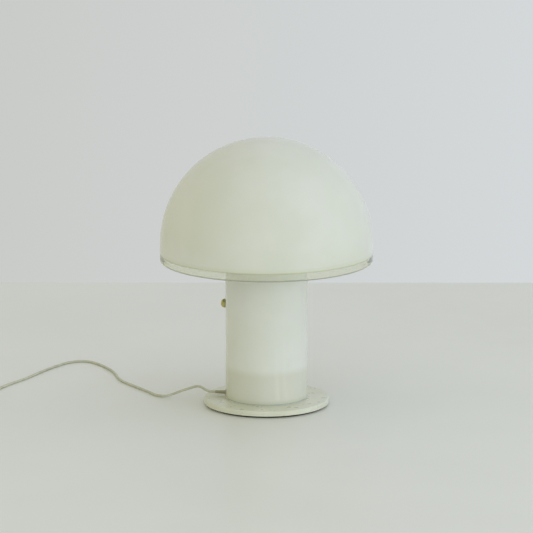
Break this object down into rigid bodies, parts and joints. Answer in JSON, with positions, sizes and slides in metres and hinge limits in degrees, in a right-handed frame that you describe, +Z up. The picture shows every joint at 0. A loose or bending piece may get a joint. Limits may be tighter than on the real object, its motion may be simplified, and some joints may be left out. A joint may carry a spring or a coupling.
{
  "type": "mushroom table lamp",
  "caption": "Table lamp with a hemispherical opal glass shade that lifts off an opal glass tube stem, a round enamelled base plate, a side rotary knob and a cord with a plug.",
  "frame": {"origin": "on the floor under the middle of the base, stem and shade", "axes": "+Z up along the stem's axis; the knob and the cord leave the lamp along -X; the picture is taken from -Y, a little to the right"},
  "size_m": [0.6824, 0.4086, 0.4327],
  "materials": {
    "felt": "pressed felt",
    "base_paint": "satin cream enamel",
    "inner_paint": "satin off-white enamel",
    "clear_rubber": "soft translucent silicone",
    "opal_glass": "polished opal glass, clear at the shade's rim",
    "zinc_steel": "zinc plated",
    "wire_paint": "satin white enamel",
    "holder_plastic": "moulded thermoset",
    "holder_ceramic": "unglazed",
    "contact_brass": "plain",
    "bulb_aluminium": "rolled thread",
    "bulb_glass": "frosted",
    "switch_plastic": "moulded",
    "knob_brass": "satin",
    "screw_steel": "plain",
    "cord_pvc": "smooth flexible PVC",
    "lead_insulation": "smooth",
    "clamp_plastic": "moulded nylon",
    "tie_plastic": "soft strap",
    "plug_plastic": "moulded on the cord",
    "pin_brass": "nickel plated"
  },
  "bodies": {
    "root": {"felt_pad": "felt", "base_plate": "base_paint", "base_cup": "inner_paint", "stem_gasket": "clear_rubber", "glass_stem": "opal_glass", "stem_top_gasket": "clear_rubber", "stem_cap": "inner_paint", "center_tube": "zinc_steel", "tube_nuts": "zinc_steel", "tube_washers": "zinc_steel", "shade_carrier": "wire_paint", "carrier_sleeves": "clear_rubber", "holder_cap": "holder_plastic", "holder_shell": "holder_plastic", "holder_insert": "holder_ceramic", "holder_screw_shell": "contact_brass", "holder_contact": "contact_brass", "bulb_cap": "bulb_aluminium", "bulb_glass": "bulb_glass", "switch_body": "switch_plastic", "switch_bushing": "knob_brass", "switch_gaskets": "clear_rubber", "switch_nut": "knob_brass", "cord_bush": "cord_pvc", "inner_cord": "cord_pvc", "cord_clamp": "clamp_plastic", "clamp_screws": "zinc_steel", "terminal_block": "clamp_plastic", "terminal_screws": "contact_brass", "holder_lead": "lead_insulation", "switch_leads": "lead_insulation", "mains_cord": "cord_pvc", "cord_coil": "cord_pvc", "cord_tie": "tie_plastic", "plug_body": "plug_plastic", "plug_pins": "pin_brass", "pin_sleeves": "plug_plastic"},
    "shade": {"glass_shade": "opal_glass"},
    "knob": {"switch_knob": "knob_brass", "switch_shaft": "zinc_steel", "knob_screw": "screw_steel"}
  },
  "joints": [
    {"name": "shade_lift", "type": "slide", "parent": "root", "child": "shade", "axis": [0, 0, 1], "range_m": [0, 0.2]},
    {"name": "knob_turn", "type": "hinge", "parent": "root", "child": "knob", "pos_m": [-0.0657, 0, 0.163], "axis": [-1, 0, 0], "continuous": true}
  ]
}
